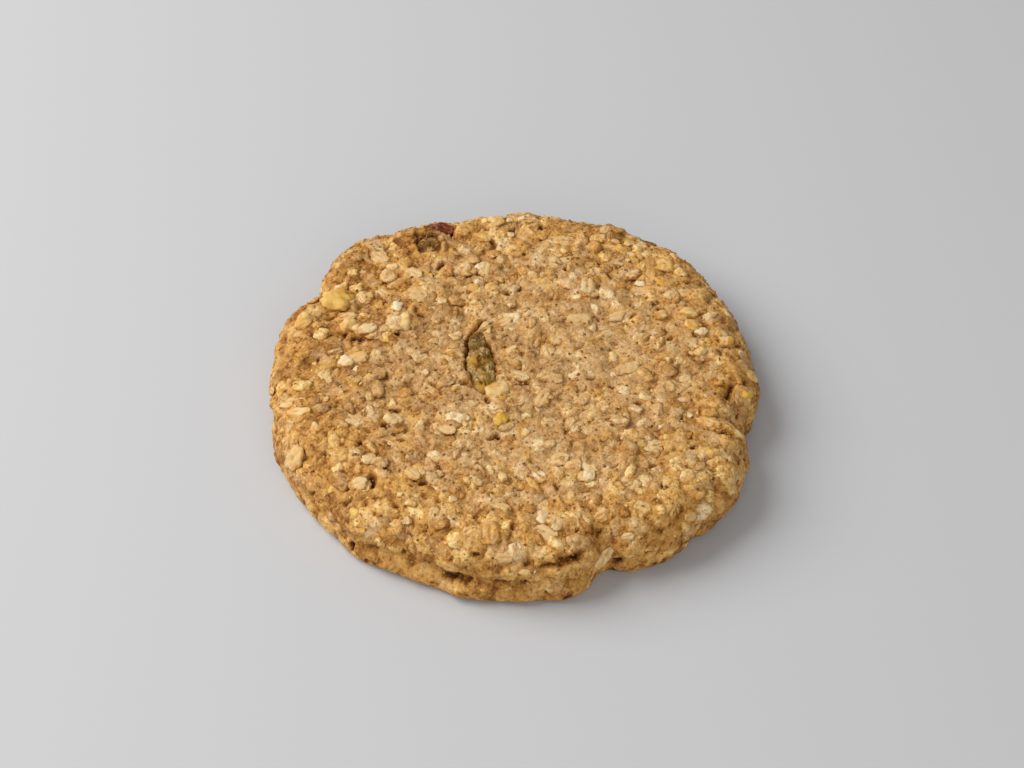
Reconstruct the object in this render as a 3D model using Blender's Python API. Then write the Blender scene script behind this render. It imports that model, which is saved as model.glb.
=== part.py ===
"""An oatmeal cookie, pressed flat by hand and baked: one round of dough with its oat flakes and
chopped nuts baked into it, and three pieces of dried fruit lying in the hollows they made.

Metres, +Z up. The cookie stands on its flat underside, with the origin in the middle of it.
-Y is the side nearest the eye, +X is to the right. Angles go anticlockwise from +X, in degrees."""

import math
import random

import bmesh
import bpy
from mathutils import Matrix, Vector, noise
from mathutils.bvhtree import BVHTree

# The round of dough
RADIUS = 0.0439
MIDDLE_HEIGHT = 0.0121
RIM_HEIGHT = 0.0112
ROUND_OVER = 0.0068
ROUND_DROP = 0.0061
BASE_ROUND = 0.0014
FLOOR_MARGIN = 0.0012

# How the way from the middle of the top, 0, to the edge of the underside, 1, is shared out
TOP_END, ROUND_END, SIDE_END = 0.70, 0.84, 0.95

# Bulges and dents of the outline: where, half its width in degrees, how far it stands out
OUTLINE = (
    (88, 22, -0.0007),
    (88, 6, 0.0012),
    (133, 11, 0.0030),
    (151.5, 4.5, -0.0024),
    (160, 7, 0.0012),
    (230, 22, -0.0008),
    (232, 6, 0.0009),
    (247, 9, -0.0008),
    (281, 4, 0.0008),
    (292, 4.5, -0.0028),
    (306, 6, 0.0010),
    (326, 12, 0.0018),
    (346, 7, -0.0021),
    (46, 9, 0.0014),
    (64, 8, 0.0006),
)

# The foot stands out as a lip in front, under a crack, and draws in on the right
LIP = {"at": 256, "half_width": 30, "out": 0.0008, "low": 0.0018, "high": 0.0046}
CRACK = {"at": 258, "half_width": 30, "depth": 0.0012, "height": 0.0048, "half_height": 0.0011}
UNDERCUT = {"at": 322, "half_width": 26, "depth": 0.0017, "height": 0.0046}

# Gentle swells of the top, and the lumps of dough over it
SWELL_LENGTH, SWELL_HEIGHT = 0.017, 0.0007
LUMP_LENGTH, LUMP_HEIGHT = 0.0062, 0.0011
SMALL_LUMP_LENGTH, SMALL_LUMP_HEIGHT = 0.0040, 0.0009
LUMP_LEVEL = 0.33

# The mesh of the dough
DOUGH_CELLS = 54

# From the middle of the plan to the middle of the whole cookie's box
BOX_MIDDLE = (-0.0002, -0.0004, 0.0)

# Chopped nuts that show on the top: x, y, length, width, turn
NUTS = (
    (-0.0329, 0.0169, 0.0056, 0.0050, -30),
    (-0.0376, 0.0117, 0.0044, 0.0034, 80),
    (-0.0306, 0.0106, 0.0040, 0.0036, 20),
    (-0.0305, 0.0017, 0.0036, 0.0030, 0),
    (-0.0200, 0.0112, 0.0056, 0.0042, 100),
    (-0.0023, -0.0138, 0.0034, 0.0028, 60),
    (-0.0065, 0.0256, 0.0030, 0.0024, 80),
    (-0.0074, 0.0199, 0.0036, 0.0030, 130),
    (0.0318, 0.0134, 0.0032, 0.0026, 10),
    (0.0323, 0.0104, 0.0036, 0.0030, 30),
    (0.0370, 0.0086, 0.0042, 0.0028, 10),
    (0.0340, -0.0201, 0.0036, 0.0030, 60),
    (0.0048, -0.0346, 0.0028, 0.0024, 0),
    (-0.0004, 0.0402, 0.0060, 0.0034, 0),
    (0.0136, 0.0199, 0.0052, 0.0036, 90),
)

# Bare oat flakes on the top, measured in the same way
OATS = (
    (-0.0336, -0.0016, 0.0040, 0.0030, 80),
    (-0.0267, 0.0092, 0.0034, 0.0026, 30),
    (-0.0100, -0.0126, 0.0042, 0.0028, -10),
    (-0.0005, -0.0062, 0.0068, 0.0042, -5),
    (0.0248, -0.0190, 0.0044, 0.0034, 20),
    (0.0339, -0.0134, 0.0048, 0.0032, -30),
    (0.0116, -0.0246, 0.0058, 0.0046, -50),
    (-0.0041, -0.0379, 0.0050, 0.0042, 90),
    (0.0100, 0.0323, 0.0052, 0.0036, 10),
    (0.0091, 0.0275, 0.0064, 0.0034, 15),
    (-0.0393, -0.0079, 0.0052, 0.0032, 20),
    (-0.0378, -0.0112, 0.0048, 0.0028, 10),
    (-0.0329, -0.0260, 0.0066, 0.0050, 130),
    (-0.0177, 0.0178, 0.0052, 0.0042, -15),
    (0.0062, 0.0208, 0.0048, 0.0042, 10),
    (0.0117, 0.0118, 0.0052, 0.0034, 0),
    (0.0189, 0.0131, 0.0050, 0.0026, 20),
    (-0.0284, -0.0126, 0.0044, 0.0034, -10),
    (-0.0263, -0.0265, 0.0040, 0.0034, 10),
    (0.0053, -0.0376, 0.0044, 0.0036, -26),
)

# Flakes on the side: angle, height, length, width, turn
SIDE_OATS = (
    (355, 0.0090, 0.0046, 0.0036, 60),
    (206, 0.0076, 0.0056, 0.0044, 30),
    (331, 0.0072, 0.0068, 0.0028, 10),
    (246, 0.0026, 0.0058, 0.0034, 0),
    (270, 0.0026, 0.0062, 0.0036, 0),
    (294, 0.0052, 0.0044, 0.0022, 80),
    (228, 0.0028, 0.0054, 0.0034, 0),
)

# Flakes coated in dough between them, strewn evenly
STREWN_ON_TOP, STREWN_ON_SIDE = 19, 17
STREWN_LENGTH = (0.0044, 0.0066)
STREWN_APART = 0.0066
STREWN_TRIES = 4000
STREWN_SEED = 11
SIDE_WAYS = (0.75, 0.92)
FLAKE_SIDES = 7
FLAKE_THICK = 0.0018
FLAKE_PROUD = 0.0004
FLAKE_LEAN = 8
NUT_THICK = 0.0030
NUT_PROUD = 0.0010

# Dried fruit: middle, half sizes, turn about Z, wrinkle depth
FRUIT = {
    "golden_raisin": {
        "at": (-0.0060, 0.0008, 0.0104),
        "half": (0.0027, 0.0074, 0.0020),
        "turn": 6,
        "waist": (0.0030, 0.24),
        "wrinkle": 0.0010,
        "detail": 3,
    },
    "dark_raisin": {
        "at": (-0.0158, 0.0318, 0.0106),
        "half": (0.0030, 0.0027, 0.0018),
        "turn": -20,
        "waist": (0.0, 0.0),
        "wrinkle": 0.0008,
        "detail": 3,
    },
    "dried_cranberry": {
        "at": (-0.0137, 0.0376, 0.0101),
        "half": (0.0026, 0.0015, 0.0014),
        "turn": -12,
        "waist": (0.0, 0.0),
        "wrinkle": 0.0006,
        "detail": 3,
    },
}
WAIST_WIDTH = 0.0016
WRINKLES_ROUND, WRINKLES_ALONG = 2.6, 1.3
FRUIT_GAP = 0.00035
HOLLOW_STRETCH = 3.0
CLEAR_OF_FRUIT = 0.0011

COLOURS = {
    "cookie": ((0.44, 0.25, 0.10), 0.85),
    "golden_raisin": ((0.25, 0.19, 0.04), 0.35),
    "dark_raisin": ((0.12, 0.07, 0.02), 0.40),
    "dried_cranberry": ((0.16, 0.02, 0.01), 0.30),
}


def clear_scene():
    for thing in list(bpy.data.objects):
        bpy.data.objects.remove(thing)


def degrees_apart(a, b):
    return (a - b + 180.0) % 360.0 - 180.0


def hump(offset, half_width):
    """1 where offset is 0, and falling away on both sides."""
    return math.exp(-((offset / half_width) ** 2))


def fade(low, high, value):
    """0 below low, 1 above high, and smooth between."""
    t = min(1.0, max(0.0, (value - low) / (high - low)))
    return t * t * (3.0 - 2.0 * t)


def outline_radius(degrees):
    lobes = (out * hump(degrees_apart(degrees, at), width) for at, width, out in OUTLINE)
    return RADIUS + sum(lobes)


def foot_shift(degrees, height):
    """How far the side stands out, or draws in, near the foot."""
    lip = LIP["out"] * hump(degrees_apart(degrees, LIP["at"]), LIP["half_width"])
    lip *= 1.0 - fade(LIP["low"], LIP["high"], height)
    crack = CRACK["depth"] * hump(degrees_apart(degrees, CRACK["at"]), CRACK["half_width"])
    crack *= hump(height - CRACK["height"], CRACK["half_height"])
    under = UNDERCUT["depth"] * hump(degrees_apart(degrees, UNDERCUT["at"]), UNDERCUT["half_width"])
    under *= 1.0 - fade(0.0, UNDERCUT["height"], height)
    return lip - crack - under


def top_height(rho, degrees):
    share = rho / RADIUS
    x, y = rho * math.cos(math.radians(degrees)), rho * math.sin(math.radians(degrees))
    swell = noise.noise(Vector((x, y, 0.0)) / SWELL_LENGTH + Vector((4.3, 1.7, 0.0)))
    return MIDDLE_HEIGHT + (RIM_HEIGHT - MIDDLE_HEIGHT) * share**3 + SWELL_HEIGHT * swell


def bare_point(way, degrees):
    """The smooth cookie: a point on its skin, the given share of the way out and down."""
    radius = outline_radius(degrees)
    rim = top_height(radius - ROUND_OVER, degrees)
    if way < TOP_END:
        rho = (radius - ROUND_OVER) * way / TOP_END
        height = top_height(rho, degrees)
    elif way < ROUND_END:
        turn = math.pi / 2 * (way - TOP_END) / (ROUND_END - TOP_END)
        rho = radius - ROUND_OVER * (1.0 - math.sin(turn))
        height = rim - ROUND_DROP * (1.0 - math.cos(turn))
    elif way < SIDE_END:
        share = (way - ROUND_END) / (SIDE_END - ROUND_END)
        rho = radius
        height = (rim - ROUND_DROP) * (1.0 - share) + BASE_ROUND * share
    else:
        turn = math.pi / 2 * (way - SIDE_END) / (1.0 - SIDE_END)
        rho = radius - BASE_ROUND * (1.0 - math.cos(turn))
        height = BASE_ROUND * (1.0 - math.sin(turn))
    rho += foot_shift(degrees, height) * fade(0.5, 0.9, way)
    angle = math.radians(degrees)
    return Vector((rho * math.cos(angle), rho * math.sin(angle), height))


def bare_frame(way, degrees):
    """A point on the smooth cookie, with the outward, sideways and upright directions of its skin."""
    step = 0.004
    here = bare_point(way, degrees)
    out = bare_point(min(way + step, 1.0), degrees) - bare_point(max(way - step, 0.0), degrees)
    around = bare_point(way, degrees + 0.5) - bare_point(way, degrees - 0.5)
    if around.length < 1e-7:
        around = Vector((-math.sin(math.radians(degrees)), math.cos(math.radians(degrees)), 0.0))
    upright = out.cross(around).normalized()
    out = around.cross(upright).normalized()
    return here, out, around.normalized(), upright


def lumps(point):
    """Round lumps with creases between them, the size of a coated oat flake and of half a one."""
    big = noise.voronoi(point / LUMP_LENGTH)[0][0]
    small = noise.voronoi(point / SMALL_LUMP_LENGTH + Vector((7.0, 3.0, 5.0)))[0][0]
    return LUMP_HEIGHT * (LUMP_LEVEL - big * big) + SMALL_LUMP_HEIGHT * (LUMP_LEVEL - small * small)


def dough_point(way, degrees):
    point, _, _, upright = bare_frame(way, degrees)
    keep_flat = fade(0.0, FLOOR_MARGIN, point.z)
    return point + upright * (lumps(point) * keep_flat)


def disc_place(across, along):
    """Where a point of a square sheet, from -1 to 1 each way, lies on a disc: the way out and the angle."""
    if abs(across) >= abs(along):
        if across == 0.0:
            return 0.0, 0.0
        return abs(across), 45.0 * along / across + (180.0 if across < 0.0 else 0.0)
    return abs(along), 90.0 - 45.0 * across / along + (180.0 if along < 0.0 else 0.0)


def new_object(name, form, home):
    mesh = bpy.data.meshes.new(name)
    form.to_mesh(mesh)
    form.free()
    thing = bpy.data.objects.new(name, mesh)
    home.objects.link(thing)
    return thing


def dough():
    """A square sheet drawn over the cookie's top and side, closed with one flat underside, and its skin."""
    form = bmesh.new()
    bmesh.ops.create_grid(form, x_segments=DOUGH_CELLS, y_segments=DOUGH_CELLS, size=1.0)
    for corner in form.verts:
        corner.co = dough_point(*disc_place(corner.co.x, corner.co.y))
    rim = [edge for edge in form.edges if edge.is_boundary]
    for corner in {corner for edge in rim for corner in edge.verts}:
        corner.co.z = 0.0
    bmesh.ops.edgeloop_fill(form, edges=rim)
    bmesh.ops.recalc_face_normals(form, faces=form.faces)
    skin = BVHTree.FromBMesh(form)
    return new_object("cookie", form, bpy.context.scene.collection), skin


def way_on_top(x, y):
    degrees = math.degrees(math.atan2(y, x)) % 360.0
    flat = outline_radius(degrees) - ROUND_OVER
    rho = math.hypot(x, y)
    if rho < flat:
        return TOP_END * rho / flat, degrees
    turn = math.asin(min(1.0, (rho - flat) / ROUND_OVER))
    return TOP_END + (ROUND_END - TOP_END) * turn / (math.pi / 2), degrees


def way_on_side(degrees, height):
    rim = top_height(outline_radius(degrees) - ROUND_OVER, degrees)
    if height > rim - ROUND_DROP:
        turn = math.acos(1.0 - (rim - height) / ROUND_DROP)
        return TOP_END + (ROUND_END - TOP_END) * turn / (math.pi / 2), degrees
    share = (rim - ROUND_DROP - height) / (rim - ROUND_DROP - BASE_ROUND)
    return ROUND_END + (SIDE_END - ROUND_END) * share, degrees


def oat_form(length, width, chance):
    """An oat flake: a low many-sided slab, smaller at the top, bent a little out of its round."""
    form = bmesh.new()
    bmesh.ops.create_cone(
        form, cap_ends=True, segments=FLAKE_SIDES, radius1=0.5, radius2=0.34, depth=1.0
    )
    for corner in form.verts:
        corner.co.x *= length * chance.uniform(0.90, 1.10)
        corner.co.y *= width * chance.uniform(0.90, 1.10)
        corner.co.z *= FLAKE_THICK
    return form


def nut_form(length, width, chance):
    """A chip of nut: a lump with few flat faces, as a knife leaves it."""
    form = bmesh.new()
    bmesh.ops.create_icosphere(form, subdivisions=1, radius=0.5)
    for corner in form.verts:
        corner.co.x *= length * chance.uniform(0.86, 1.14)
        corner.co.y *= width * chance.uniform(0.86, 1.14)
        corner.co.z *= NUT_THICK * chance.uniform(0.9, 1.1)
    return form


def set_in_dough(name, form, skin, way, degrees, turn, depth, lean, home):
    """Lays a flake or a nut in the skin of the dough, its middle at the given depth."""
    here, out, around, upright = bare_frame(way, degrees)
    here = skin.find_nearest(here)[0] - upright * depth
    stand = Matrix((out, around, upright)).transposed().to_4x4()
    tip = Matrix.Rotation(math.radians(lean), 4, "Y")
    spin = Matrix.Rotation(math.radians(turn - degrees), 4, "Z")
    bmesh.ops.transform(form, matrix=stand @ tip @ spin, verts=form.verts)
    bmesh.ops.translate(form, vec=here, verts=form.verts)
    lowest = min(corner.co.z for corner in form.verts)
    if lowest < FLOOR_MARGIN / 2:
        bmesh.ops.translate(form, vec=(0.0, 0.0, FLOOR_MARGIN / 2 - lowest), verts=form.verts)
    return new_object(name, form, home)


def clear_of_fruit(point, reach):
    for fruit in FRUIT.values():
        middle, half = Vector(fruit["at"]), fruit["half"]
        apart = Matrix.Rotation(-math.radians(fruit["turn"]), 3, "Z") @ (point - middle)
        grown = reach + CLEAR_OF_FRUIT
        if math.hypot(apart.x / (half[0] + grown), apart.y / (half[1] + grown)) < 1.0:
            return False
    return True


def strewn_places(taken, chance):
    """Places spread evenly over the top and the side, clear of each other and of those taken."""
    places = []
    for on_side, wanted in ((False, STREWN_ON_TOP), (True, STREWN_ON_SIDE)):
        found = 0
        for _ in range(STREWN_TRIES):
            if found == wanted:
                break
            degrees = chance.uniform(0.0, 360.0)
            way = chance.uniform(*SIDE_WAYS) if on_side else SIDE_WAYS[0] * math.sqrt(chance.random())
            point = bare_point(way, degrees)
            if all((point - other).length > STREWN_APART for other in taken):
                taken.append(point)
                places.append((way, degrees))
                found += 1
    return places


def pieces_in_dough(skin, home):
    """Every flake and bit of nut that is fused to the dough, those seen best first."""
    chance = random.Random(STREWN_SEED)
    placed = [(nut_form, *way_on_top(x, y), *size) for x, y, *size in NUTS]
    placed += [(oat_form, *way_on_top(x, y), *size) for x, y, *size in OATS]
    placed += [(oat_form, *way_on_side(at, height), *size) for at, height, *size in SIDE_OATS]
    taken = [bare_point(way, degrees) for _, way, degrees, *_ in placed]
    for way, degrees in strewn_places(taken, chance):
        length = chance.uniform(*STREWN_LENGTH)
        width = length * chance.uniform(0.62, 0.82)
        placed.append((oat_form, way, degrees, length, width, chance.uniform(0, 180)))
    for number, (make_form, way, degrees, length, width, turn) in enumerate(placed):
        if not clear_of_fruit(bare_point(way, degrees), width / 2):
            continue
        is_nut = make_form is nut_form
        depth = NUT_THICK / 2 - NUT_PROUD if is_nut else FLAKE_THICK / 2 - FLAKE_PROUD
        lean = chance.uniform(-FLAKE_LEAN, FLAKE_LEAN)
        form = make_form(length, width, chance)
        set_in_dough(f"piece_{number}", form, skin, way, degrees, turn, depth, lean, home)


def fruit_form(fruit, grow):
    """A dried fruit: a ball drawn out, pinched at its waist and wrinkled along its length."""
    form = bmesh.new()
    bmesh.ops.create_icosphere(form, subdivisions=fruit["detail"], radius=1.0)
    waist_at, waist_depth = fruit["waist"]
    for corner in form.verts:
        ball = corner.co.copy()
        length = ball.y * fruit["half"][1]
        pinch = 1.0 - waist_depth * hump(length - waist_at, WAIST_WIDTH)
        round_it = Vector((ball.x * WRINKLES_ROUND, ball.y * WRINKLES_ALONG, ball.z * WRINKLES_ROUND))
        ridge = noise.noise(round_it + Vector((fruit["turn"], 0.0, 0.0)))
        size = Vector([half + grow for half in fruit["half"]])
        point = Vector((ball.x * size.x * pinch, ball.y * size.y, ball.z * size.z * pinch))
        corner.co = point + ball * (ridge * fruit["wrinkle"])
    turn = Matrix.Rotation(math.radians(fruit["turn"]), 4, "Z")
    bmesh.ops.transform(form, matrix=Matrix.Translation(fruit["at"]) @ turn, verts=form.verts)
    return form


def hollow_for(name, fruit, home):
    """What the fruit pressed out of the dough: its own form with a gap round it, open above."""
    form = fruit_form(fruit, FRUIT_GAP)
    for corner in form.verts:
        above = corner.co.z - fruit["at"][2]
        if above > 0.0:
            corner.co.z = fruit["at"][2] + above * HOLLOW_STRETCH
    return new_object(name + "_hollow", form, home)


def merge_into(body, others, operation):
    """Joins every object of a collection to the body, or cuts it out, and drops the collection."""
    change = body.modifiers.new(operation.lower(), "BOOLEAN")
    change.operation = operation
    change.operand_type = "COLLECTION"
    change.collection = others
    change.solver = "EXACT"
    graph = bpy.context.evaluated_depsgraph_get()
    result = bpy.data.meshes.new_from_object(body.evaluated_get(graph))
    body.modifiers.remove(change)
    body.data = result
    for thing in list(others.objects):
        bpy.data.objects.remove(thing)
    bpy.data.collections.remove(others)


def helper_collection(name):
    home = bpy.data.collections.new(name)
    bpy.context.scene.collection.children.link(home)
    return home


def finish(thing, name):
    colour, roughness = COLOURS[name]
    material = bpy.data.materials.new(name)
    material.use_nodes = True
    shader = material.node_tree.nodes["Principled BSDF"]
    shader.inputs["Base Color"].default_value = (*colour, 1.0)
    shader.inputs["Roughness"].default_value = roughness
    shader.inputs["Metallic"].default_value = 0.0
    thing.data.materials.clear()
    thing.data.materials.append(material)
    thing.data.shade_smooth()
    thing.data.set_sharp_from_angle(angle=math.radians(40))


def build():
    clear_scene()
    cookie, skin = dough()
    flakes = helper_collection("flakes_and_nuts")
    pieces_in_dough(skin, flakes)
    merge_into(cookie, flakes, "UNION")
    hollows = helper_collection("fruit_hollows")
    for name, fruit in FRUIT.items():
        hollow_for(name, fruit, hollows)
    merge_into(cookie, hollows, "DIFFERENCE")
    finish(cookie, "cookie")
    for name, fruit in FRUIT.items():
        finish(new_object(name, fruit_form(fruit, 0.0), bpy.context.scene.collection), name)
    for thing in bpy.data.objects:
        thing.data.transform(Matrix.Translation(-Vector(BOX_MIDDLE)))


build()
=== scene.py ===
"""How the oatmeal cookie looks: baked dough, oat flakes, chips of nut, crumbs and dried fruit."""

import math

import bmesh
import bpy
import numpy as np
from mathutils import Matrix, Vector, noise
from mathutils.kdtree import KDTree


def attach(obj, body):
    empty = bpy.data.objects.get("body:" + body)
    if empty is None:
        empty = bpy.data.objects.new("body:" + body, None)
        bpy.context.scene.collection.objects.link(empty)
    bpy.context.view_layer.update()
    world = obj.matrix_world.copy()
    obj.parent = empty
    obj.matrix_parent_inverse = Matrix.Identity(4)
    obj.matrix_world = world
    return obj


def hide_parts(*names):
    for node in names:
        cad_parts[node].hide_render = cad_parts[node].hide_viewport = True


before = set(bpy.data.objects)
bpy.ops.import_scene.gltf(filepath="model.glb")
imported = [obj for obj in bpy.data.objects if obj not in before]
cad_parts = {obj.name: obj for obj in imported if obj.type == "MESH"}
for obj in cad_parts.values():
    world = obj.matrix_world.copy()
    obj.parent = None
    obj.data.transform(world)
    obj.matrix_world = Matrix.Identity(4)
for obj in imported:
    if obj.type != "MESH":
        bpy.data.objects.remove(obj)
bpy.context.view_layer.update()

# The dough: oats, flour, fat and sugar rubbed together, pressed into a round by hand and baked.
# Its skin is a square sheet drawn over the top and the side, closed below with the flat underside
# that the baking tray left, and then raised in lumps and let down in creases, pits and cracks.

RADIUS = 0.0439
MIDDLE_HEIGHT, RIM_HEIGHT = 0.0121, 0.0112
ROUND_OVER, ROUND_DROP = 0.0068, 0.0061
BASE_ROUND = 0.0014
TOP_END, ROUND_END, SIDE_END = 0.71, 0.875, 0.955
OUTLINE = (
    (88, 22, -0.0007), (88, 6, 0.0012), (133, 11, 0.003), (151.5, 4.5, -0.0024), (160, 7, 0.0012),
    (230, 22, -0.0008), (232, 6, 0.0009), (247, 9, -0.0008), (281, 4, 0.0008), (292, 4.5, -0.0028),
    (306, 6, 0.001), (326, 12, 0.0018), (346, 7, -0.0021), (46, 9, 0.0014), (64, 8, 0.0006),
)
LIP = {"at": 256, "half_width": 30, "out": 0.0008, "low": 0.0018, "high": 0.0046}
CRACK = {"at": 258, "half_width": 30, "out": -0.0012, "height": 0.0048, "half_height": 0.0011}
UNDERCUT = {"at": 322, "half_width": 26, "out": -0.0017, "height": 0.0046}
SWELL_LENGTH, SWELL_HEIGHT = 0.017, 0.0007
LUMP_LENGTH, LUMP_HEIGHT = 0.0062, 0.0011
SMALL_LUMP_LENGTH, SMALL_LUMP_HEIGHT = 0.0040, 0.0009
LUMP_LEVEL = 0.33
BOX_MIDDLE = np.array((-0.0002, -0.0004, 0.0))
FOOT, FOOT_FADE = 0.001, 0.0024
PRESSED_ABOVE, HOLLOWS_ABOVE, FRUIT_ABOVE = 0.006, 0.005, 0.004
SKIN_CELLS = 284
UNDERSIDE_CELLS = 96
UNDERSIDE_REACH = 0.93

FRUIT = {
    "golden_raisin": {"at": (-0.0060, 0.0008, 0.0104), "half": (0.0027, 0.0074, 0.0020), "turn": 6},
    "dark_raisin": {"at": (-0.0158, 0.0318, 0.0106), "half": (0.0030, 0.0027, 0.0018), "turn": -20},
    "dried_cranberry": {"at": (-0.0137, 0.0376, 0.0101), "half": (0.0026, 0.0015, 0.0014), "turn": -12},
}
HOLLOW_GAP = 0.0002


def degrees_apart(a, b):
    return (a - b + 180.0) % 360.0 - 180.0


def hump(offset, half_width):
    """1 where offset is 0, and falling away on both sides."""
    return np.exp(-((offset / half_width) ** 2))


def fade(low, high, value):
    """0 below low, 1 above high, and smooth between."""
    t = np.clip((value - low) / (high - low), 0.0, 1.0)
    return t * t * (3.0 - 2.0 * t)


def soft_noise(points, length, shift=(0.0, 0.0, 0.0)):
    """Smooth noise from about -1 to 1, its swells the given length."""
    shift = Vector(shift)
    return np.array([noise.noise(Vector(p) / length + shift) for p in points])


def round_lumps(points, length, shift=(0.0, 0.0, 0.0)):
    """The squared way to the nearest of scattered points: round lumps with creases between them."""
    shift = Vector(shift)
    near = np.array([noise.voronoi(Vector(p) / length + shift)[0][0] for p in points])
    return near * near


def outline_radius(degrees):
    radius = np.full_like(degrees, RADIUS)
    for at, half_width, out in OUTLINE:
        radius += out * hump(degrees_apart(degrees, at), half_width)
    return radius


def foot_shift(degrees, height):
    """How far the side stands out in a lip, or draws in, near the foot."""

    def out(form):
        return form["out"] * hump(degrees_apart(degrees, form["at"]), form["half_width"])

    lip = out(LIP) * (1.0 - fade(LIP["low"], LIP["high"], height))
    crack = out(CRACK) * hump(height - CRACK["height"], CRACK["half_height"])
    under = out(UNDERCUT) * (1.0 - fade(0.0, UNDERCUT["height"], height))
    return lip + crack + under


def places_at(rho, degrees, height):
    angle = np.radians(degrees)
    return np.stack((rho * np.cos(angle), rho * np.sin(angle), height), axis=1)


def top_height(rho, degrees):
    swell = soft_noise(places_at(rho, degrees, np.zeros_like(rho)), SWELL_LENGTH, (4.3, 1.7, 0.0))
    return MIDDLE_HEIGHT + (RIM_HEIGHT - MIDDLE_HEIGHT) * (rho / RADIUS) ** 3 + SWELL_HEIGHT * swell


def bare_points(way, degrees):
    """The smooth cookie: points of its skin, the given share of the way out and down."""
    radius = outline_radius(degrees)
    rim = top_height(radius - ROUND_OVER, degrees)
    rho_top = (radius - ROUND_OVER) * np.minimum(way / TOP_END, 1.0)
    turn = math.pi / 2 * np.clip((way - TOP_END) / (ROUND_END - TOP_END), 0.0, 1.0)
    down = np.clip((way - ROUND_END) / (SIDE_END - ROUND_END), 0.0, 1.0)
    tuck = math.pi / 2 * np.clip((way - SIDE_END) / (1.0 - SIDE_END), 0.0, 1.0)
    zones = [way < TOP_END, way < ROUND_END, way < SIDE_END]
    rho = np.select(
        zones,
        [rho_top, radius - ROUND_OVER * (1.0 - np.sin(turn)), radius],
        radius - BASE_ROUND * (1.0 - np.cos(tuck)),
    )
    height = np.select(
        zones,
        [
            top_height(rho_top, degrees),
            rim - ROUND_DROP * (1.0 - np.cos(turn)),
            (rim - ROUND_DROP) * (1.0 - down) + BASE_ROUND * down,
        ],
        BASE_ROUND * (1.0 - np.sin(tuck)),
    )
    rho = rho + foot_shift(degrees, height) * fade(0.5, 0.9, way)
    return places_at(rho, degrees, height)


def disc_places(across, along):
    """Where points of a square sheet, from -1 to 1 each way, lie on a disc: way out and angle."""
    sideways = np.abs(across) >= np.abs(along)
    way = np.maximum(np.abs(across), np.abs(along))
    with np.errstate(divide="ignore", invalid="ignore"):
        east = 45.0 * along / across + np.where(across < 0.0, 180.0, 0.0)
        north = 90.0 - 45.0 * across / along + np.where(along < 0.0, 180.0, 0.0)
    degrees = np.where(sideways, east, north)
    return way, np.nan_to_num(degrees)


def corner_array(corners):
    return np.array([corner.co[:] for corner in corners])


def move_corners(corners, places):
    for corner, place in zip(corners, places):
        corner.co = place


def bare_skin():
    """The sheet over the top and the side, bridged to a coarser one over the underside."""
    form = bmesh.new()
    bmesh.ops.create_grid(form, x_segments=SKIN_CELLS, y_segments=SKIN_CELLS, size=1.0)
    flat = corner_array(form.verts)
    move_corners(form.verts, bare_points(*disc_places(flat[:, 0], flat[:, 1])))
    upper = len(form.verts)
    foot = [edge for edge in form.edges if edge.is_boundary]
    under = bmesh.ops.create_grid(
        form, x_segments=UNDERSIDE_CELLS, y_segments=UNDERSIDE_CELLS, size=1.0
    )["verts"]
    flat = corner_array(under)
    way, degrees = disc_places(flat[:, 0], flat[:, 1])
    rho = way * UNDERSIDE_REACH * (outline_radius(degrees) - BASE_ROUND)
    move_corners(under, places_at(rho, degrees, np.zeros_like(rho)))
    fresh = set(under)
    rim = [edge for edge in form.edges if edge.is_boundary and edge.verts[0] in fresh]
    bmesh.ops.bridge_loops(form, edges=foot + rim)
    bmesh.ops.recalc_face_normals(form, faces=form.faces)
    form.normal_update()
    return form, upper


def spread_out(allowed, spacing):
    """Picks corners of the bare skin at random, none nearer to another than the spacing."""
    picked, filled = [], {}
    for index in chance.permutation(np.flatnonzero(allowed)):
        point = bare[index]
        home = tuple(np.floor(point / spacing).astype(int))
        near = (
            other
            for i in (-1, 0, 1)
            for j in (-1, 0, 1)
            for k in (-1, 0, 1)
            for other in filled.get((home[0] + i, home[1] + j, home[2] + k), ())
        )
        if all(((bare[other] - point) ** 2).sum() > spacing * spacing for other in near):
            picked.append(index)
            filled.setdefault(home, []).append(index)
    return np.array(picked)


def in_hollow(points, fruit, grow=0.0):
    """How far each point is from the fruit's middle as seen from above: 1 on the hollow's edge."""
    turn = -math.radians(fruit["turn"])
    x, y = points[:, 0] - fruit["at"][0], points[:, 1] - fruit["at"][1]
    across = x * math.cos(turn) - y * math.sin(turn)
    along = x * math.sin(turn) + y * math.cos(turn)
    half = fruit["half"]
    return (across / (half[0] + HOLLOW_GAP + grow)) ** 2 + (along / (half[1] + HOLLOW_GAP + grow)) ** 2


def patches_on(points, patches):
    """1 in the middle of each patch. Its place across and along and its reach are in tenths of a
    millimetre."""
    patches = np.array(patches) / 1e4
    near = [hump(np.hypot(points[:, 0] - x, points[:, 1] - y), reach) for x, y, reach in patches]
    return np.max(near, axis=0)


def pushed_about(points, length, reach):
    """The points moved a little each way by smooth noise."""
    return points + reach * np.array([noise.noise_vector(Vector(point) / length) for point in points])


def onto_skin(place):
    """The place moved along the nearest corner's normal until it lies level with that corner."""
    near = corner_tree.find(place)[1]
    return place + upright[near] * ((bare[near] - place) @ upright[near])


def way_to_crack(points, crack):
    """How far each point is from a crack's line, in widths of the crack."""
    x, y, end_x, end_y, height, half_width = crack
    start = onto_skin(np.array((x, y, height)))
    along = onto_skin(np.array((end_x, end_y, height))) - start
    share = np.clip((points - start) @ along / (along @ along), 0.0, 1.0)
    return np.linalg.norm(points - start - share[:, None] * along, axis=1) / half_width


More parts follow.
